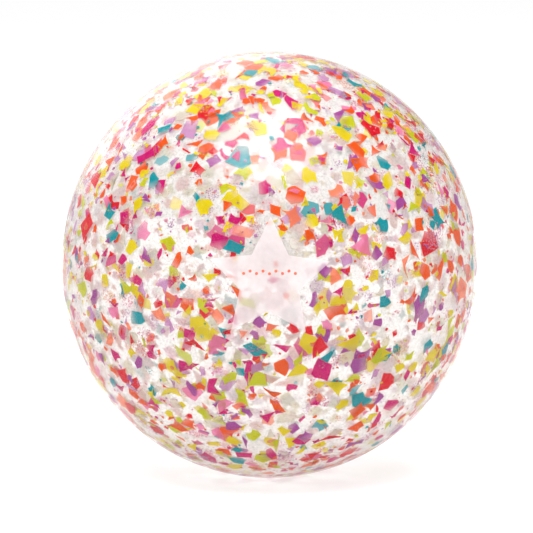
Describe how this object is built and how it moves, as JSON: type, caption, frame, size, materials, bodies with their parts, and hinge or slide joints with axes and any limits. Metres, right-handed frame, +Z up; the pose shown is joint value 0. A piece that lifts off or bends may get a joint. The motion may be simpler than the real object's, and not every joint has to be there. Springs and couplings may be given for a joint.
{
  "type": "inflatable beach ball",
  "caption": "Seamless see-through inflatable beach ball with coloured flakes cast into its skin, a star label and a recessed, capped air valve.",
  "frame": {"origin": "centre of the blown-up ball", "axes": "+Z up along the ball's longest extent, -Y out through the star label, +Y out through the valve"},
  "size_m": [0.22, 0.2201, 0.2256],
  "materials": {
    "clear_skin": "clear, slightly milky soft PVC, glossy",
    "orange_flakes": "thin translucent orange film",
    "yellow_flakes": "thin translucent yellow film",
    "lime_flakes": "thin translucent lime film",
    "red_flakes": "thin translucent red film",
    "magenta_flakes": "thin translucent magenta film",
    "teal_flakes": "thin translucent teal film",
    "purple_flakes": "thin translucent purple film",
    "lilac_flakes": "thin translucent lilac film",
    "pink_flakes": "thin translucent pink film",
    "salmon_flakes": "thin translucent salmon film",
    "pearl_flakes": "thin translucent pearl film",
    "frosted_label": "frosted white film",
    "coral_print": "printed ink",
    "soft_white_pvc": "soft translucent white PVC",
    "white_pvc": "satin white PVC",
    "clear_film": "soft clear film"
  },
  "bodies": {
    "ball": {"ball_skin": "clear_skin", "orange_flakes": "orange_flakes", "yellow_flakes": "yellow_flakes", "lime_flakes": "lime_flakes", "red_flakes": "red_flakes", "magenta_flakes": "magenta_flakes", "teal_flakes": "teal_flakes", "purple_flakes": "purple_flakes", "lilac_flakes": "lilac_flakes", "pink_flakes": "pink_flakes", "salmon_flakes": "salmon_flakes", "pearl_flakes": "pearl_flakes", "star_label": "frosted_label", "label_dots": "coral_print", "valve_flange": "soft_white_pvc", "valve_web": "soft_white_pvc"},
    "stem": {"valve_stem": "white_pvc", "stem_foot": "white_pvc", "flap_seat": "white_pvc", "strap_root": "white_pvc"},
    "flap": {"check_flap": "clear_film"},
    "cap": {"cap_plate": "white_pvc", "cap_plug": "white_pvc", "cap_strap": "white_pvc", "pull_tab": "white_pvc"}
  },
  "joints": [
    {"name": "stem_pull", "type": "slide", "parent": "ball", "child": "stem", "axis": [0, 1, 0], "range_m": [0, 0.012]},
    {"name": "cap_hinge", "type": "hinge", "parent": "stem", "child": "cap", "pos_m": [0, 0.1081, 0.0074], "axis": [1, 0, 0], "range_deg": [0, 115]},
    {"name": "flap_hinge", "type": "hinge", "parent": "stem", "child": "flap", "pos_m": [0, 0.09215, 0.0057], "axis": [-1, 0, 0], "range_deg": [0, 60], "stiffness_Nm_per_rad": 0.00002}
  ]
}
